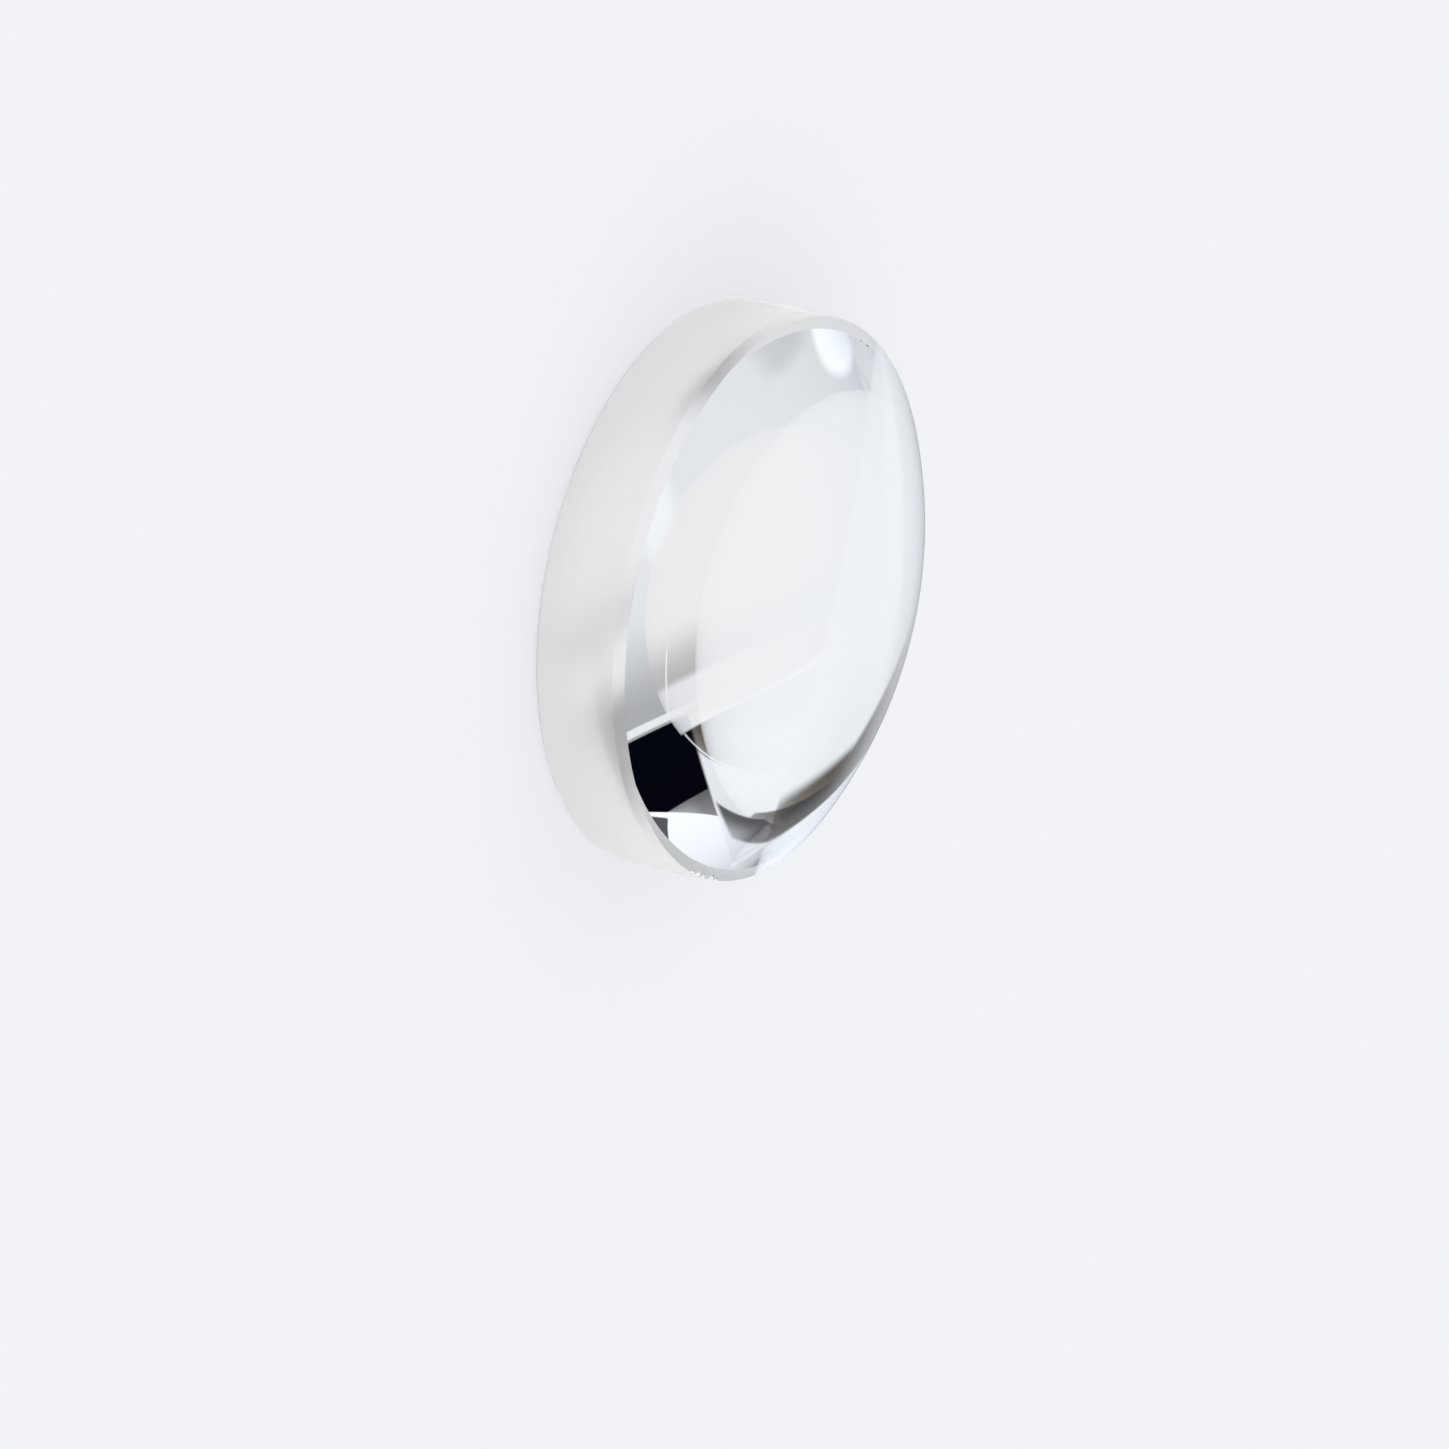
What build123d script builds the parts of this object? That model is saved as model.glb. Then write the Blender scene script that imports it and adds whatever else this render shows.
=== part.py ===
from build123d import *
import math
import os

# A plano-convex lens, one piece of optical glass, in millimetres.
# +Z is the optical axis and points out of the dome. The lens lies on its flat
# face, and the origin is the middle of that face.

lens_diameter = 12.7    # across the ground edge
dome_radius = 10.7      # radius of curvature of the convex face
edge_thickness = 2.34   # along the axis at the edge, bevels included
flat_bevel = 0.15       # 45 degree bevel round the flat face
land_height = 0.3       # steep, finely ground band between the edge and the dome
land_width = 0.03       # how far that band leans in towards the dome

# Small shell-shaped chips in the rim of the dome. Each has its place round the
# axis, in degrees from +X, and the radius of its ball-shaped hollow.
rim_chips = [
    (-8.8, 0.05),
    (-6.5, 0.09),
    (-4.2, 0.07),
    (-1.0, 0.10),
    (1.5, 0.05),
    (21.2, 0.08),
    (24.4, 0.06),
]

edge_radius = lens_diameter / 2
flat_radius = edge_radius - flat_bevel
rim_radius = edge_radius - land_width
wall_top = edge_thickness - land_height

# The dome's arc runs from its rim to its apex, on the axis.
dome_rise = dome_radius - math.sqrt(dome_radius**2 - rim_radius**2)
apex_height = edge_thickness + dome_rise
dome_centre = apex_height - dome_radius
half_angle = math.asin(rim_radius / dome_radius) / 2
arc_middle_x = dome_radius * math.sin(half_angle)
arc_middle_z = dome_centre + dome_radius * math.cos(half_angle)

flat_centre = (0, 0)
flat_rim = (flat_radius, 0)
wall_foot = (edge_radius, flat_bevel)
wall_head = (edge_radius, wall_top)
dome_rim = (rim_radius, edge_thickness)
arc_middle = (arc_middle_x, arc_middle_z)
apex = (0, apex_height)

with BuildPart() as plano_convex_lens:
    # half of the lens's section, turned about the axis
    with BuildSketch(Plane.XZ):
        with BuildLine():
            Polyline(apex, flat_centre, flat_rim, wall_foot, wall_head, dome_rim)
            ThreePointArc(dome_rim, arc_middle, apex)
        make_face()
    revolve(axis=Axis.Z)

    # chips bitten out of the dome's rim
    for place_angle, chip_radius in rim_chips:
        chip_x = rim_radius * math.cos(math.radians(place_angle))
        chip_y = rim_radius * math.sin(math.radians(place_angle))
        with Locations((chip_x, chip_y, edge_thickness)):
            Sphere(chip_radius, mode=Mode.SUBTRACT)

plano_convex_lens.part.label = "plano_convex_lens"
os.makedirs("parts", exist_ok=True)
export_step(plano_convex_lens.part, "parts/plano_convex_lens.step")
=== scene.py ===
import math
import bpy
from mathutils import Matrix, Vector


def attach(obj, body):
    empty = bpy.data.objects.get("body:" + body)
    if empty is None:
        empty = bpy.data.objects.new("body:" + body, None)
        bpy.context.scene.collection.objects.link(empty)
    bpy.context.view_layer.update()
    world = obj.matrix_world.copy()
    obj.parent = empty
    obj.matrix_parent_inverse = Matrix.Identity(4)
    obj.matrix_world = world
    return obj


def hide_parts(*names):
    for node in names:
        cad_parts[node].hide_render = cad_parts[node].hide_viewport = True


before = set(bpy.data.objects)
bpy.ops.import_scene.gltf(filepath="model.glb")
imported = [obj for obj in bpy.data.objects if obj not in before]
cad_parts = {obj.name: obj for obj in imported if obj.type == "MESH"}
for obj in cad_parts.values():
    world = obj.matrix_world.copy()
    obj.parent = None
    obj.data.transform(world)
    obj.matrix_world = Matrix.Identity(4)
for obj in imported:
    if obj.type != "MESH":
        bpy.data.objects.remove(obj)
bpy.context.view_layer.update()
print("stage: frame loaded")


class Value:
    # a number in a node tree; sums on it add Math nodes
    def __init__(self, wiring, socket):
        self.wiring = wiring
        self.socket = socket

    def sum(self, operation, first, second=None):
        values = {0: first}
        if second is not None:
            values[1] = second
        return self.wiring.value("ShaderNodeMath", {"operation": operation}, values)

    def __add__(self, other):
        return self.sum("ADD", self, other)

    def __radd__(self, other):
        return self.sum("ADD", other, self)

    def __sub__(self, other):
        return self.sum("SUBTRACT", self, other)

    def __rsub__(self, other):
        return self.sum("SUBTRACT", other, self)

    def __mul__(self, other):
        return self.sum("MULTIPLY", self, other)

    def __rmul__(self, other):
        return self.sum("MULTIPLY", other, self)

    def __truediv__(self, other):
        return self.sum("DIVIDE", self, other)

    def __rtruediv__(self, other):
        return self.sum("DIVIDE", other, self)

    def __pow__(self, other):
        return self.sum("POWER", self, other)

    def __neg__(self):
        return self.sum("MULTIPLY", self, -1.0)

    def __lt__(self, other):
        return self.sum("LESS_THAN", self, other)

    def __gt__(self, other):
        return self.sum("GREATER_THAN", self, other)

    def larger(self, other):
        return self.sum("MAXIMUM", self, other)

    def smaller(self, other):
        return self.sum("MINIMUM", self, other)

    def root(self):
        return self.sum("SQRT", self)

    def sine(self):
        return self.sum("SINE", self)

    def cosine(self):
        return self.sum("COSINE", self)

    def absolute(self):
        return self.sum("ABSOLUTE", self)

    def degrees(self):
        return self.sum("DEGREES", self)

    def step(self, low, high):
        # 0 below low, 1 above high, an even S between
        return self.wiring.value("ShaderNodeMapRange", {"interpolation_type": "SMOOTHSTEP"},
                                 {"Value": self, "From Min": low, "From Max": high})

    def inside(self, low, high, soft):
        # 1 between low and high, with soft ends
        return self.step(low - soft, low + soft) * (1.0 - self.step(high - soft, high + soft))


class Wiring:
    # adds nodes to one tree
    def __init__(self, tree):
        self.tree = tree

    def find(self, sockets, key):
        if isinstance(key, int):
            return sockets[key]
        for socket in sockets:
            if socket.identifier == key:
                return socket
        return sockets[key]

    def node(self, kind, settings=None, values=None):
        node = self.tree.nodes.new(kind)
        for name, setting in (settings or {}).items():
            setattr(node, name, setting)
        for key, value in (values or {}).items():
            socket = self.find(node.inputs, key)
            if isinstance(value, Value):
                self.tree.links.new(value.socket, socket)
            elif isinstance(value, bpy.types.NodeSocket):
                self.tree.links.new(value, socket)
            else:
                socket.default_value = value
        return node

    def value(self, kind, settings=None, values=None, output=0):
        node = self.node(kind, settings, values)
        return Value(self, self.find(node.outputs, output))

    def out(self, kind, settings=None, values=None, output=0):
        return self.find(self.node(kind, settings, values).outputs, output)

    def vector(self, x, y, z):
        return self.out("ShaderNodeCombineXYZ", None, {0: x, 1: y, 2: z})

    def parts(self, vector):
        node = self.node("ShaderNodeSeparateXYZ", None, {0: vector})
        return [Value(self, output) for output in node.outputs]


def plainLevel(level):
    # a screen level of 0 to 255 as light
    part = level / 255
    return part / 12.92 if part < 0.04045 else ((part + 0.055) / 1.055) ** 2.4


def blend(under, over, mask):
    return under + (over - under) * mask


def grey(wiring, value):
    return wiring.out("ShaderNodeCombineColor", None, {0: value, 1: value, 2: value})


polishedGlass = {
    "tint": (0.992, 0.997, 0.998, 1.0),
    "refraction": 1.89,
    "clean": 0.0,            # roughness of the clean polish
    "haze": 0.012,           # added in the faintest wiped marks
    "markSize": 0.0022,      # metres
    "markDetail": 3.0,
    "markRoughness": 0.6,
    "markRange": (0.58, 0.78),
    "filmThickness": 125.0,  # nanometres, a thin clear coating
    "filmRefraction": 1.38,
}

groundGlass = {
    "colour": (0.955, 0.955, 0.93, 1.0),
    "landColour": (0.98, 0.98, 0.96, 1.0),
    "refraction": 1.2,       # the ground skin bends light less than the glass
    "letThrough": 0.7,
    "roughness": 0.7,
    "landRoughness": 0.5,
    "landFoot": 0.00204,     # height at which the land begins, in metres
    "landSoft": 0.00001,
    "grain": 0.00005,        # metres
    "grainDetail": 2.0,
    "grainRoughness": 0.7,
    "grainDepth": 0.000004,
    "grainStrength": 0.35,
    "blotch": 0.0011,
    "blotchDetail": 4.0,
    "blotchRoughness": 0.6,
    "darkest": 0.955,        # the speckle's darkest part
    "grainSpeckle": 0.05,
    "blotchSpeckle": 0.04,
    "roughSpeckle": 0.1,
    "glow": 0.7,             # part of what shows from inside that is daylight soaked through
    "soakedColour": (0.99, 0.99, 0.98, 1.0),
}


def newMaterial(name):
    material = bpy.data.materials.new(name)
    material.use_nodes = True
    material.node_tree.nodes.clear()
    return material, Wiring(material.node_tree)


def noise(wiring, place, size, detail, roughness):
    return wiring.value("ShaderNodeTexNoise", None, {
        "Vector": place, "Scale": 1 / size, "Detail": detail, "Roughness": roughness})


def makePolishedGlass(facts):
    material, wiring = newMaterial("polishedGlass")
    place = wiring.out("ShaderNodeTexCoord", None, None, "Object")
    marks = noise(wiring, place, facts["markSize"], facts["markDetail"], facts["markRoughness"])
    wiped = marks.step(*facts["markRange"])
    shader = wiring.out("ShaderNodeBsdfPrincipled", None, {
        "Base Color": facts["tint"],
        "Roughness": facts["clean"] + wiped * facts["haze"],
        "IOR": facts["refraction"],
        "Transmission Weight": 1.0,
        "Thin Film Thickness": facts["filmThickness"],
        "Thin Film IOR": facts["filmRefraction"],
    })
    wiring.node("ShaderNodeOutputMaterial", None, {"Surface": shader})
    return material


def makeGroundGlass(facts):
    material, wiring = newMaterial("groundGlass")
    place = wiring.out("ShaderNodeTexCoord", None, None, "Object")
    height = wiring.parts(place)[2]
    foot, soft = facts["landFoot"], facts["landSoft"]
    onLand = height.step(foot - soft, foot + soft)
    grain = noise(wiring, place, facts["grain"], facts["grainDetail"], facts["grainRoughness"])
    blotch = noise(wiring, place, facts["blotch"], facts["blotchDetail"], facts["blotchRoughness"])
    shade = wiring.out("ShaderNodeMix", {"data_type": "RGBA"},
                       {"Factor_Float": onLand, "A_Color": facts["colour"],
                        "B_Color": facts["landColour"]}, "Result_Color")
    speckle = facts["darkest"] + grain * facts["grainSpeckle"] + blotch * facts["blotchSpeckle"]
    mottled = wiring.out("ShaderNodeMix", {"data_type": "RGBA", "blend_type": "MULTIPLY"},
                         {"Factor_Float": 1.0, "A_Color": shade, "B_Color": grey(wiring, speckle)},
                         "Result_Color")
    rough = facts["roughness"] + onLand * (facts["landRoughness"] - facts["roughness"])
    rough = rough + (grain - 0.5) * facts["roughSpeckle"]
    raised = wiring.out("ShaderNodeBump", None, {
        "Strength": facts["grainStrength"], "Distance": facts["grainDepth"], "Height": grain})
    skin = wiring.out("ShaderNodeBsdfPrincipled", None, {
        "Base Color": mottled,
        "Roughness": rough,
        "IOR": facts["refraction"],
        "Transmission Weight": facts["letThrough"],
        "Normal": raised,
    })
    # daylight that soaks through to where the skin is seen from inside the lens
    soaked = wiring.out("ShaderNodeBsdfTranslucent", None, {"Color": facts["soakedColour"]})
    fromInside = wiring.value("ShaderNodeNewGeometry", None, None, "Backfacing")
    mixed = wiring.out("ShaderNodeMixShader", None,
                       {0: fromInside * facts["glow"], 1: skin, 2: soaked})
    wiring.node("ShaderNodeOutputMaterial", None, {"Surface": mixed})
    return material


polished = makePolishedGlass(polishedGlass)
ground = makeGroundGlass(groundGlass)
print("stage: glass finishes made")

# metres; each is an input of the lens's node tree
lens = {
    "Edge Radius": 0.00635,
    "Dome Radius": 0.0107,
    "Edge Height": 0.00234,
    "Flat Bevel": 0.00015,
    "Land Height": 0.0003,
    "Land Width": 0.00003,
    "Segments": 480,
}

# small chips in the dome's rim: place round the axis in degrees, radius in metres
rimChips = [
    (-8.8, 0.00005), (-6.5, 0.00009), (-4.2, 0.00007), (-1.0, 0.0001),
    (1.5, 0.00005), (21.2, 0.00008), (24.4, 0.00006),
]

lensMesh = {
    "flatRows": 12,
    "bevelRows": 3,
    "wallRows": 20,
    "landRows": 12,
    "domeRows": 80,
    "chipCrowding": 0.8,     # faces stand closer together towards +X, where the chips are
    "rimCrowding": 1.6,      # and on the dome towards its rim
    "biteInward": 0.8,       # a chip's slant, inward and down
    "biteDown": 0.6,
    "mergeDistance": 1e-7,
    "sharpAngle": 4,
}


def makeLensTree(name, sizes, chips, facts):
    # five rings of faces, each a grid wrapped round the axis
    tree = bpy.data.node_groups.new(name, "GeometryNodeTree")
    tree.is_modifier = True
    for inputName, amount in sizes.items():
        kind = "NodeSocketInt" if isinstance(amount, int) else "NodeSocketFloat"
        tree.interface.new_socket(name=inputName, in_out="INPUT", socket_type=kind)
    for inputName in ("Polished", "Ground"):
        tree.interface.new_socket(name=inputName, in_out="INPUT", socket_type="NodeSocketMaterial")
    tree.interface.new_socket(name="Lens", in_out="OUTPUT", socket_type="NodeSocketGeometry")
    wiring = Wiring(tree)
    given = wiring.node("NodeGroupInput")
    size = {socket.name: Value(wiring, socket) for socket in given.outputs if socket.name}

    edge = size["Edge Radius"]
    sphere = size["Dome Radius"]
    rimHeight = size["Edge Height"]
    bevel = size["Flat Bevel"]
    wallHead = rimHeight - size["Land Height"]
    rim = edge - size["Land Width"]
    domeCentre = rimHeight - (sphere * sphere - rim * rim).root()
    place = wiring.out("GeometryNodeInputPosition")
    x, y, z = wiring.parts(place)
    outward = x + 0.5
    turn = (y + 0.5) * (2 * math.pi)
    angle = turn - turn.sine() * facts["chipCrowding"]

    def zone(rows, radius, height, isGround):
        grid = wiring.out("GeometryNodeMeshGrid", None,
                          {"Size X": 1.0, "Size Y": 1.0, "Vertices X": rows + 1,
                           "Vertices Y": size["Segments"] + 1})
        spot = wiring.vector(radius * angle.cosine(), -(radius * angle.sine()), height)
        wrapped = wiring.out("GeometryNodeSetPosition", None, {"Geometry": grid, "Position": spot})
        return wiring.out("GeometryNodeStoreNamedAttribute",
                          {"data_type": "BOOLEAN", "domain": "FACE"},
                          {"Geometry": wrapped, "Name": "ground", "Value": isGround})

    flatRim = edge - bevel
    domeOut = 1.0 - outward ** facts["rimCrowding"]
    domeOutward = rim * domeOut
    zones = [
        zone(facts["flatRows"], flatRim * outward, bevel * 0.0, False),
        zone(facts["bevelRows"], flatRim + bevel * outward, bevel * outward, True),
        zone(facts["wallRows"], edge + bevel * 0.0, bevel + (wallHead - bevel) * outward, True),
        zone(facts["landRows"], edge + (rim - edge) * outward,
             wallHead + (rimHeight - wallHead) * outward, True),
        zone(facts["domeRows"], domeOutward,
             domeCentre + (sphere * sphere - domeOutward * domeOutward).root(), False),
    ]
    join = wiring.node("GeometryNodeJoinGeometry")
    for piece in reversed(zones):
        tree.links.new(piece, join.inputs[0])
    body = wiring.out("GeometryNodeMergeByDistance", None,
                      {"Geometry": join.outputs[0], "Distance": facts["mergeDistance"]})

    # each chip is a ball's bite out of the rim
    bites = []
    for degrees, radius in chips:
        turned = math.radians(degrees)
        centre = (rim * math.cos(turned), rim * math.sin(turned), rimHeight)
        dx, dy, dz = x - centre[0], y - centre[1], z - centre[2]
        reach = dx * dx + dy * dy + dz * dz
        within = reach < radius * radius
        inward = -facts["biteInward"]
        into = (inward * math.cos(turned), inward * math.sin(turned), -facts["biteDown"])
        slant = dx * into[0] + dy * into[1] + dz * into[2]
        push = (slant * slant - reach + radius * radius).larger(0.0).root() - slant
        bites.append((within, wiring.vector(push * into[0], push * into[1], push * into[2])))
    for within, push in bites:
        body = wiring.out("GeometryNodeSetPosition", None,
                          {"Geometry": body, "Selection": within, "Offset": push})

    isGround = wiring.out("GeometryNodeInputNamedAttribute", {"data_type": "BOOLEAN"},
                          {"Name": "ground"})
    body = wiring.out("GeometryNodeRealizeInstances", None, {"Geometry": body})
    body = wiring.out("GeometryNodeSetMaterial", None,
                      {"Geometry": body, "Material": size["Polished"]})
    body = wiring.out("GeometryNodeSetMaterial", None,
                      {"Geometry": body, "Selection": isGround, "Material": size["Ground"]})
    wiring.node("NodeGroupOutput", None, {0: body})
    return tree


def makeLens(sizes, chips, facts):
    tree = makeLensTree("lensRings", sizes, chips, facts)
    start = bpy.data.meshes.new("lensStart")
    maker = bpy.data.objects.new("lensMaker", start)
    bpy.context.scene.collection.objects.link(maker)
    modifier = maker.modifiers.new("lensRings", "NODES")
    modifier.node_group = tree
    chosen = dict(sizes, Polished=polished, Ground=ground)
    for item in tree.interface.items_tree:
        if item.in_out == "INPUT":
            modifier[item.identifier] = chosen[item.name]
    bpy.context.view_layer.update()
    graph = bpy.context.evaluated_depsgraph_get()
    mesh = bpy.data.meshes.new_from_object(
        maker.evaluated_get(graph), preserve_all_data_layers=True, depsgraph=graph)
    maker.modifiers.remove(modifier)
    bpy.data.objects.remove(maker)
    mesh.name = "polishedLens"
    mesh.attributes.remove(mesh.attributes["ground"])

    # two plain slots, whatever order the tree left
    finishes = [polished, ground]
    order = [finishes.index(finish) if finish else 0 for finish in mesh.materials]
    used = [order[face.material_index] for face in mesh.polygons]
    mesh.materials.clear()
    for finish in finishes:
        mesh.materials.append(finish)
    mesh.polygons.foreach_set("material_index", used)
    mesh.shade_smooth()
    mesh.set_sharp_from_angle(angle=math.radians(facts["sharpAngle"]))
    piece = bpy.data.objects.new("polishedLens", mesh)
    bpy.context.scene.collection.objects.link(piece)
    print("lens faces", len(mesh.polygons), "ground", sum(used))
    return piece


lensPiece = makeLens(lens, rimChips, lensMesh)
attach(lensPiece, "root")
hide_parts("plano_convex_lens")
print("stage: lens made")

viewing = {
    "tip": 61.02,              # degrees between the optical axis and the way to the camera
    "lean": 12.86,             # degrees that the lens leans in the view
    "viewSide": 1449,          # pixels
    "axisPixel": (691.07, 579.85),
    "edgePixels": 288.28,      # the edge radius in pixels
    "distance": 0.316,         # metres
    "sensor": 36,              # millimetres
    "nearest": 0.01,
    "furthest": 10,
}


def viewAxes(facts):
    # the ways towards the camera, and right and down in its view
    tip, lean = math.radians(facts["tip"]), math.radians(facts["lean"])
    sineTip, cosineTip = math.sin(tip), math.cos(tip)
    sineLean, cosineLean = math.sin(lean), math.cos(lean)
    back = Vector((0, -sineTip, cosineTip))
    right = Vector((-sineLean, cosineLean * cosineTip, cosineLean * sineTip))
    down = Vector((cosineLean, sineLean * cosineTip, sineLean * sineTip))
    return back, right, down


def makeCamera(facts):
    back, right, down = viewAxes(facts)
    start = Vector((0, 0, lens["Flat Bevel"]))
    perPixel = lens["Edge Radius"] / facts["edgePixels"]
    middle = facts["viewSide"] / 2
    target = start + right * (middle - facts["axisPixel"][0]) * perPixel
    target += down * (middle - facts["axisPixel"][1]) * perPixel
    place = start + back * facts["distance"]
    aim = (place - target).normalized()
    side = (-down).cross(aim).normalized()
    turned = Matrix((side, aim.cross(side), aim)).transposed()
    data = bpy.data.cameras.new("longLens")
    data.sensor_width = facts["sensor"]
    data.sensor_fit = "HORIZONTAL"
    data.lens = facts["sensor"] * (place - target).length / (facts["viewSide"] * perPixel)
    data.clip_start = facts["nearest"]
    data.clip_end = facts["furthest"]
    camera = bpy.data.objects.new("longLens", data)
    camera.matrix_world = Matrix.Translation(place) @ turned.to_4x4()
    bpy.context.scene.collection.objects.link(camera)
    bpy.context.scene.camera = camera


makeCamera(viewing)
print("stage: camera set")

# Levels are screen levels of 0 to 255. Rise and bearing are degrees in the studio's own
# directions, and a pair such as "wallFoot" is where a change begins and ends.
studio = {
    "backdrop": (241, 243, 247),
    "tint": (0.972, 0.984, 1.03),
    "rise": 22.5,        # degrees that the camera stands over the studio's own level
    "roll": 2.15,
    "softLight": 0.97,
    "softMiddle": 0.68,  # the soft light comes a little more from the two ends of X
    "softPlus": 1.05,
    "softMinus": 0.72,
}

# on the dome's outside, which is coated and mirrors little but the roof light
mirroredView = {
    "table": 243, "tablePart": 0.1, "aheadPart": 0.4, "ahead": (0.55, 0.85),
    "roof": 255, "roofFoot": (48, 62),
}

# straight through the glass: a table, a dim slot and a wall
straightView = {
    "table": 243, "tableGain": 1.105, "tableFade": 0.07, "tableFadeAt": (-22, -3),
    "leftTable": 248, "leftTableAt": (-29, -24),
    "wall": 251, "wallGain": 1.18, "wallLift": 0.2, "wallLiftAt": (18, 25),
    "wallFoot": (13.5, 15.0),
    "slot": 68, "slotHead": 110, "slotHeadAt": (7, 13), "slotEnd": (-54, -6),
    "slotTop": 14.8, "slotTopSlope": 0.06, "slotTopBearing": -15.0, "slotTopSoft": 0.7,
    "slotFoot": 3.2, "slotFootSlope": 0.04, "slotDrop": 0.55, "slotDropBearing": -16.0,
    "slotFootSoft": 1.9,
}

# after one bounce inside: the table, and a flag beyond its right-hand end
onceView = {
    "table": 243, "nearTable": 249, "middleTable": 253, "farTable": 250,
    "nearRise": -1.5, "nearSlope": 0.24, "nearBearing": 41.0, "nearSoft": 0.7,
    "middleAt": (-3, 5), "farAt": (12.2, 13.0),
    "flag": 90, "flagRise": 30.4, "flagSlope": 0.5, "flagBearing": 54.0, "flagSoft": 0.9,
    "flagEnd": (30, 40),
}

# after two: dusk towards a white patch, a thin curved slit, then a flag with a gap in it
twiceView = {
    "dusk": 239, "duskHead": 186, "duskAt": (-9, 10),
    "patch": 236, "patchFoot": (9.5, 12.5),
    "slit": 252, "slitRise": 19.0, "slitBearing": 27.0, "slitBend": 0.033, "slitWidth": (0.4, 1.2),
    "slitEnds": (2.5, 27, 1),
    "flag": 14, "flagFoot": (27.6, 28.8),
    "gap": 240, "gapEnds": (18, 21, 1), "gapFoot": (28, 29),
}

# after three or more: the shaded wall, and over it the black flag and the roof light
farView = {
    "wall": 235, "shade": 177, "shadeAt": (-8, 21),
    "glow": 250, "glowPlace": (-27.0, 97.0), "glowSize": (15.0, 9.0), "glowSoft": (0.0, 1.0),
    "deep": 214, "deepRise": (-56, -50), "deepBearing": (148, 170),
    "lamp": 255, "lampGain": 1.2, "lampPlace": (-43.0, -146.0), "lampSize": (9.5, 25.0),
    "lampSoft": (0.5, 1.1),
    "line": 240, "lineEnds": (22.6, 24.8, 0.3),
    "flag": 4, "flagFoot": (25.3, 25.9), "flagTop": 51.5, "flagTopSoft": 0.3,
    "roof": 255, "roofGain": 1.1, "roofEdge": 122, "edgeSoft": 0.25,
    "arcRise": 52.0, "arcBearing": 77.0, "arcSlope": 0.55,
    "disc": 178, "discLeast": 0.5, "discShade": 0.35, "discShadeAt": (84, 94),
    "corner": 92, "cornerSoft": 0.4, "cornerFrom": (60, 62), "cornerTo": (73.5, 75),
    "cornerLow": (49.0, 68.0, 0.7), "cornerHigh": (60.0, 67.0, 0.85),
}

# the roof light's far edge, dark along its outside, in parts of the studio's axes
roofFarEdge = {
    "outside": 240, "outsideAt": (-0.036, -0.022),
    "dark": 100, "pale": 205, "paleAt": (-0.01, 0.11), "paleSide": (-0.08, 0.3),
    "ahead": 0.19, "bend": 0.31, "bendFrom": 0.12,
    "white": 255, "whiteSoft": 0.012,
    "whiteLeft": (0.2, -0.105), "whiteRight": (-0.09, -0.045),
    "rightFrom": (98, 99.5), "leftFrom": (-100, -90),
}


def studioAxes(facts):
    back, right, down = viewAxes(viewing)
    roll, rise = math.radians(facts["roll"]), math.radians(facts["rise"])
    upright = -down * math.cos(roll) - right * math.sin(roll)
    top = back * math.sin(rise) + upright * math.cos(rise)
    ahead = (-back - top * (-back).dot(top)).normalized()
    return top, ahead, ahead.cross(top)


class Way:
    # where a ray goes, in the studio's own directions
    def __init__(self, wiring, direction, axes):
        upward, forward, sideways = [
            wiring.value("ShaderNodeVectorMath", {"operation": "DOT_PRODUCT"},
                         {0: direction, 1: tuple(axis)}, "Value") for axis in axes]
        self.forward = forward
        self.sideways = sideways
        self.rise = upward.sum("ARCSINE", upward).degrees()
        self.bearing = sideways.sum("ARCTAN2", sideways, forward).degrees()

    def oval(self, place, size, soft):
        # 1 at place, 0 outside
        high = (self.rise - place[0]) / size[0]
        wide = (self.bearing - place[1]) / size[1]
        return 1.0 - (high ** 2 + wide ** 2).step(*soft)


def mirroredLight(way, facts):
    table, roof = plainLevel(facts["table"]), plainLevel(facts["roof"])
    light = blend(table * facts["tablePart"], roof, way.rise.step(*facts["roofFoot"]))
    return blend(light, table * facts["aheadPart"], way.forward.step(*facts["ahead"]))


def straightLight(way, facts):
    rise, bearing = way.rise, way.bearing
    table = plainLevel(facts["table"]) * (
        facts["tableGain"] - facts["tableFade"] * bearing.step(*facts["tableFadeAt"]))
    table = blend(table, plainLevel(facts["leftTable"]), 1.0 - bearing.step(*facts["leftTableAt"]))
    wall = plainLevel(facts["wall"]) * (
        facts["wallGain"] + facts["wallLift"] * rise.step(*facts["wallLiftAt"]))
    pastBearing = (bearing - facts["slotTopBearing"]).larger(0.0)
    top = facts["slotTop"] - facts["slotTopSlope"] * pastBearing
    foot = facts["slotFoot"] - facts["slotFootSlope"] * bearing
    foot = foot - facts["slotDrop"] * (facts["slotDropBearing"] - bearing).larger(0.0)
    footSoft, topSoft = facts["slotFootSoft"], facts["slotTopSoft"]
    slot = (rise - foot).step(-footSoft, footSoft) * (1.0 - (rise - top).step(-topSoft, topSoft))
    slot = slot * bearing.step(*facts["slotEnd"])
    inSlot = blend(plainLevel(facts["slot"]), plainLevel(facts["slotHead"]),
                   rise.step(*facts["slotHeadAt"]))
    return blend(blend(table, wall, rise.step(*facts["wallFoot"])), inSlot, slot)


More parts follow.
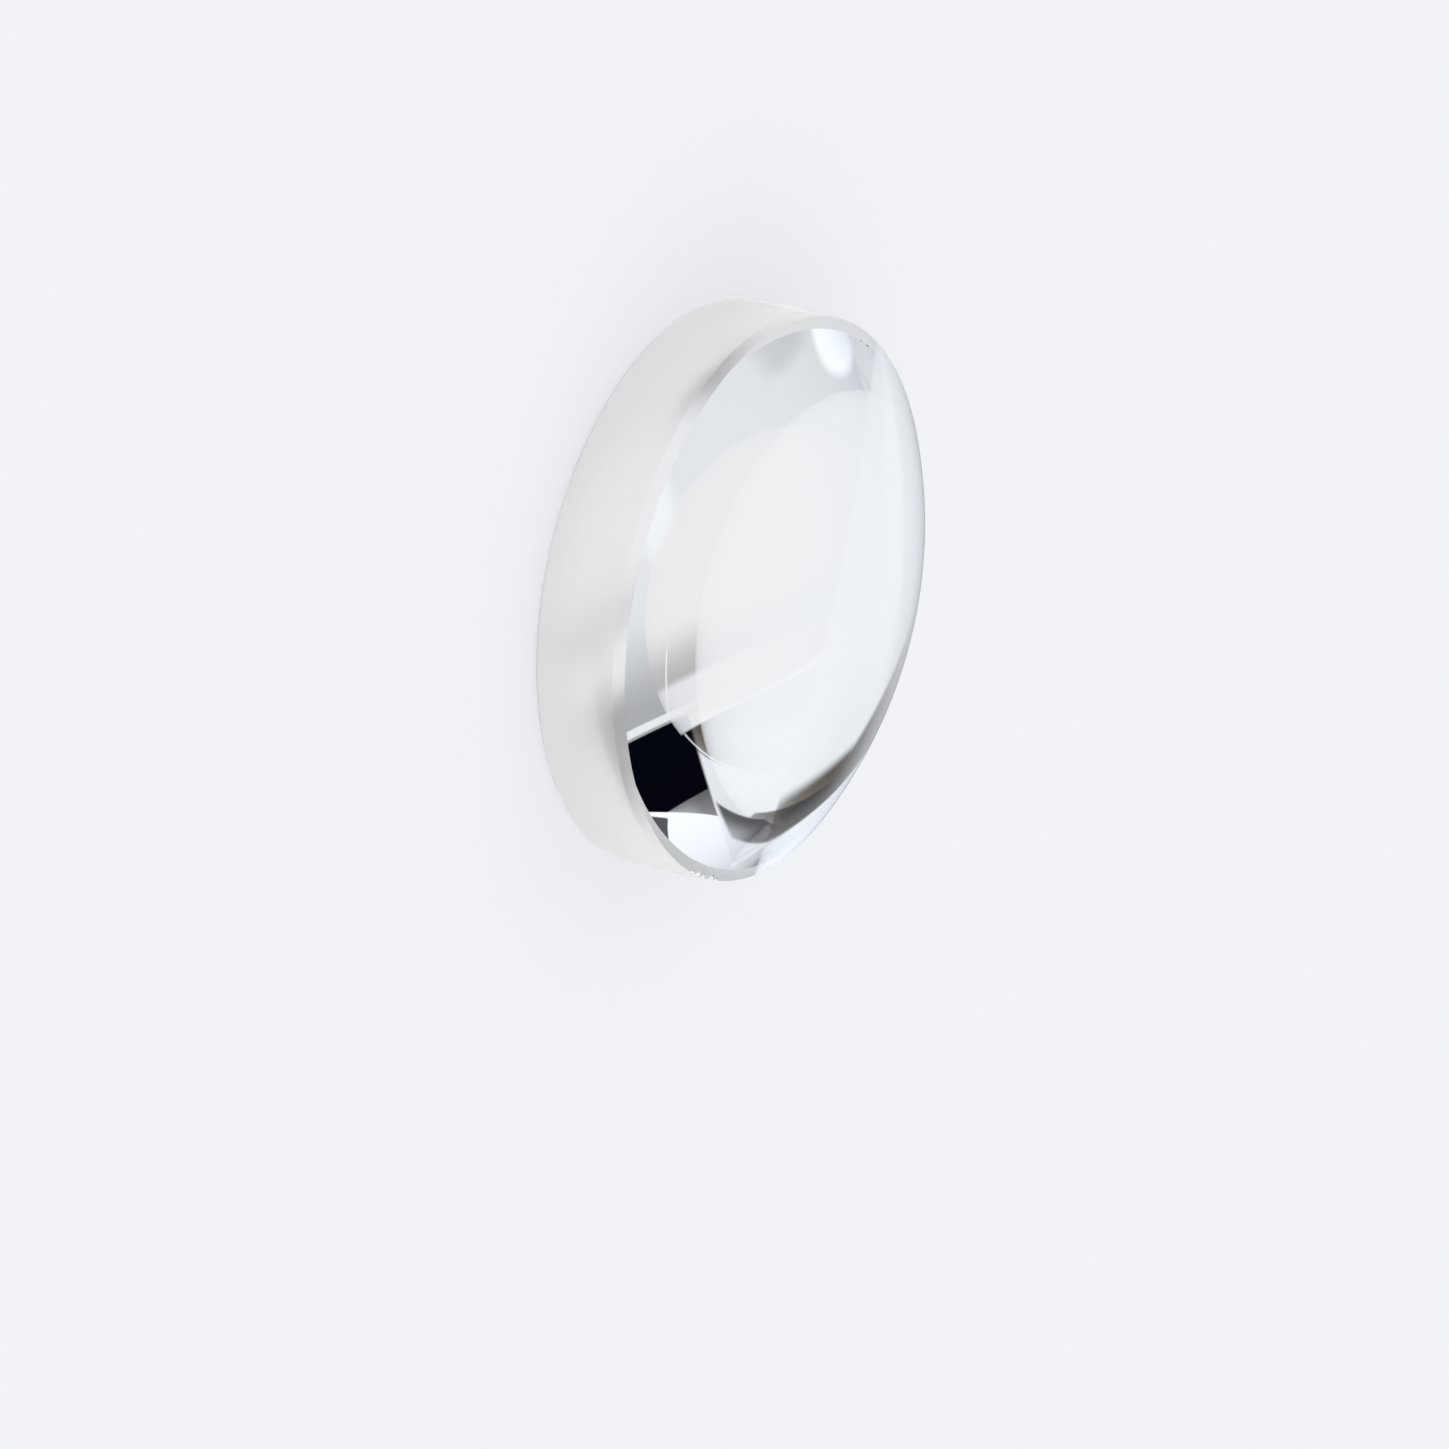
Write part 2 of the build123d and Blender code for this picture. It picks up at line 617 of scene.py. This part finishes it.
def onceLight(way, facts):
    rise, bearing = way.rise, way.bearing
    nearLine = facts["nearRise"] - (bearing - facts["nearBearing"]) * facts["nearSlope"]
    light = blend(plainLevel(facts["table"]), plainLevel(facts["nearTable"]),
                  (rise - nearLine).step(-facts["nearSoft"], facts["nearSoft"]))
    light = blend(light, plainLevel(facts["middleTable"]), rise.step(*facts["middleAt"]))
    light = blend(light, plainLevel(facts["farTable"]), rise.step(*facts["farAt"]))
    beforeBearing = (facts["flagBearing"] - bearing).larger(0.0)
    flagFoot = facts["flagRise"] + beforeBearing * facts["flagSlope"]
    flag = (rise - flagFoot).step(-facts["flagSoft"], facts["flagSoft"])
    return blend(light, plainLevel(facts["flag"]), flag * bearing.step(*facts["flagEnd"]))


def twiceLight(way, facts):
    rise, bearing = way.rise, way.bearing
    light = blend(plainLevel(facts["dusk"]), plainLevel(facts["duskHead"]),
                  rise.step(*facts["duskAt"]))
    light = blend(light, plainLevel(facts["patch"]), rise.step(*facts["patchFoot"]))
    curve = rise - facts["slitRise"] + (facts["slitBearing"] - bearing) ** 2 * facts["slitBend"]
    slit = (1.0 - curve.absolute().step(*facts["slitWidth"])) * bearing.inside(*facts["slitEnds"])
    light = blend(light, plainLevel(facts["slit"]), slit)
    light = blend(light, plainLevel(facts["flag"]), rise.step(*facts["flagFoot"]))
    gap = bearing.inside(*facts["gapEnds"]) * rise.step(*facts["gapFoot"])
    return blend(light, plainLevel(facts["gap"]), gap)


def roofEdgeLight(way, facts):
    forward, sideways, bearing = way.forward, way.sideways, way.bearing
    past = forward + facts["ahead"] - facts["bend"] * (sideways - facts["bendFrom"]).larger(0.0)
    leftLine = sideways * facts["whiteLeft"][0] + facts["whiteLeft"][1]
    rightLine = sideways * facts["whiteRight"][0] + facts["whiteRight"][1]
    white = (forward - leftLine.smaller(rightLine)).step(-facts["whiteSoft"], facts["whiteSoft"])
    light = blend(plainLevel(facts["dark"]), plainLevel(facts["pale"]),
                  past.step(*facts["paleAt"]) * sideways.step(*facts["paleSide"]))
    light = blend(light, plainLevel(facts["white"]), white)
    light = blend(plainLevel(facts["outside"]), light, past.step(*facts["outsideAt"]))
    beyond = bearing.step(*facts["rightFrom"]).larger(1.0 - bearing.step(*facts["leftFrom"]))
    return light, beyond


def farLight(way, facts, edgeFacts):
    rise, bearing = way.rise, way.bearing
    light = blend(plainLevel(facts["wall"]), plainLevel(facts["shade"]),
                  rise.step(*facts["shadeAt"]))
    glow = way.oval(facts["glowPlace"], facts["glowSize"], facts["glowSoft"])
    light = blend(light, plainLevel(facts["glow"]), glow)
    deep = (1.0 - rise.step(*facts["deepRise"])) * bearing.absolute().step(*facts["deepBearing"])
    light = blend(light, plainLevel(facts["deep"]), deep)
    lamp = way.oval(facts["lampPlace"], facts["lampSize"], facts["lampSoft"])
    light = blend(light, plainLevel(facts["lamp"]) * facts["lampGain"], lamp)
    light = blend(light, plainLevel(facts["line"]), rise.inside(*facts["lineEnds"]))

    # the black flag, and over it the dim disc under the roof light's sharp near edge
    over = rise.step(*facts["flagFoot"])
    arc = facts["arcRise"] + (bearing - facts["arcBearing"]) * facts["arcSlope"]
    top, topSoft, edgeSoft = facts["flagTop"], facts["flagTopSoft"], facts["edgeSoft"]
    light = blend(light, plainLevel(facts["flag"]), over)
    dim = ((rise - top) / (arc - top).larger(facts["discLeast"])).larger(0.0).smaller(1.0)
    disc = blend(plainLevel(facts["roofEdge"]), plainLevel(facts["disc"]), dim)
    disc = disc * (1.0 - facts["discShade"] * bearing.step(*facts["discShadeAt"]))
    roof = blend(disc, plainLevel(facts["roof"]) * facts["roofGain"],
                 (rise - arc).step(-edgeSoft, edgeSoft))
    light = blend(light, roof, (rise - arc.smaller(top)).step(-topSoft, topSoft) * over)

    # a dim corner where the roof light ends
    soft = facts["cornerSoft"]
    lowRise, lowBearing, lowSlope = facts["cornerLow"]
    highRise, highBearing, highSlope = facts["cornerHigh"]
    low = (rise - lowRise - (bearing - lowBearing) * lowSlope).step(-soft, soft)
    high = 1.0 - (rise - highRise + (bearing - highBearing) * highSlope).step(-soft, soft)
    corner = low * high * bearing.step(*facts["cornerFrom"])
    corner = corner * (1.0 - bearing.step(*facts["cornerTo"]))
    light = blend(light, plainLevel(facts["corner"]), corner)

    edgeLight, beyond = roofEdgeLight(way, edgeFacts)
    return blend(light, edgeLight, over * beyond)


def makeWorld(facts):
    world = bpy.data.worlds.new("softStudio")
    bpy.context.scene.world = world
    world.use_nodes = True
    world.node_tree.nodes.clear()
    wiring = Wiring(world.node_tree)
    direction = wiring.out("ShaderNodeTexCoord", None, None, "Generated")
    way = Way(wiring, direction, studioAxes(facts))

    # what a ray that leaves the glass meets, by how often it has bounced inside
    rays = wiring.node("ShaderNodeLightPath")
    bounces = Value(wiring, rays.outputs["Glossy Depth"])
    through = blend(straightLight(way, straightView), onceLight(way, onceView), bounces > 0.5)
    through = blend(through, twiceLight(way, twiceView), bounces > 1.5)
    through = blend(through, farLight(way, farView, roofFarEdge), bounces > 2.5)
    inGlass = Value(wiring, rays.outputs["Is Transmission Ray"])
    shown = blend(mirroredLight(way, mirroredView), through, inGlass)
    surround = wiring.out("ShaderNodeVectorMath", {"operation": "SCALE"},
                          {0: facts["tint"], "Scale": shown})

    # everything else meets plain soft light, and the camera the backdrop
    across = wiring.parts(direction)[0]
    soft = facts["softLight"] * (facts["softMiddle"] + across.larger(0.0) * facts["softPlus"]
                                 + (-across).larger(0.0) * facts["softMinus"])
    lit = [plainLevel(part) for part in facts["backdrop"]]
    plain = wiring.out("ShaderNodeMix", {"data_type": "RGBA"},
                       {"Factor_Float": Value(wiring, rays.outputs["Is Camera Ray"]),
                        "A_Color": grey(wiring, soft), "B_Color": (*lit, 1.0)}, "Result_Color")
    glassRay = Value(wiring, rays.outputs["Is Glossy Ray"]).larger(inGlass)
    seen = wiring.out("ShaderNodeMix", {"data_type": "RGBA"},
                      {"Factor_Float": glassRay, "A_Color": plain, "B_Color": surround},
                      "Result_Color")
    background = wiring.out("ShaderNodeBackground", None, {"Color": seen, "Strength": 1.0})
    wiring.node("ShaderNodeOutputWorld", None, {"Surface": background})


floorFacts = {
    "colour": (0.865, 0.88, 0.91, 1.0),
    "backdrop": studio["backdrop"],
    "reach": 0.6,
    "height": -0.00002,
    "shadowEase": 0.6,   # part of the floor's paleness that no shadow reaches
}


def makeFloor(facts):
    material, wiring = newMaterial("paleFloor")
    rays = wiring.node("ShaderNodeLightPath")
    isGlossy, isThrough, isCamera = [
        Value(wiring, rays.outputs[name])
        for name in ("Is Glossy Ray", "Is Transmission Ray", "Is Camera Ray")]
    matt = wiring.out("ShaderNodeBsdfPrincipled", None,
                      {"Base Color": facts["colour"], "Roughness": 1.0, "Specular IOR Level": 0.0})
    lit = [plainLevel(part) for part in facts["backdrop"]]
    shown = wiring.out("ShaderNodeEmission", None, {"Color": (*lit, 1.0), "Strength": 1.0})
    pale = wiring.out("ShaderNodeMixShader", None,
                      {0: isCamera * facts["shadowEase"], 1: matt, 2: shown})
    clear = wiring.out("ShaderNodeBsdfTransparent")
    mixed = wiring.out("ShaderNodeMixShader", None,
                       {0: isGlossy.larger(isThrough), 1: pale, 2: clear})
    wiring.node("ShaderNodeOutputMaterial", None, {"Surface": mixed})
    reach, height = facts["reach"], facts["height"]
    corners = [(x * reach, y * reach, height) for x, y in ((-1, -1), (1, -1), (1, 1), (-1, 1))]
    mesh = bpy.data.meshes.new("paleFloor")
    mesh.from_pydata(corners, [], [(0, 1, 2, 3)])
    mesh.materials.append(material)
    floor = bpy.data.objects.new("paleFloor", mesh)
    bpy.context.scene.collection.objects.link(floor)


makeWorld(studio)
makeFloor(floorFacts)
bpy.context.scene.view_settings.view_transform = "Standard"
print("stage: studio set")
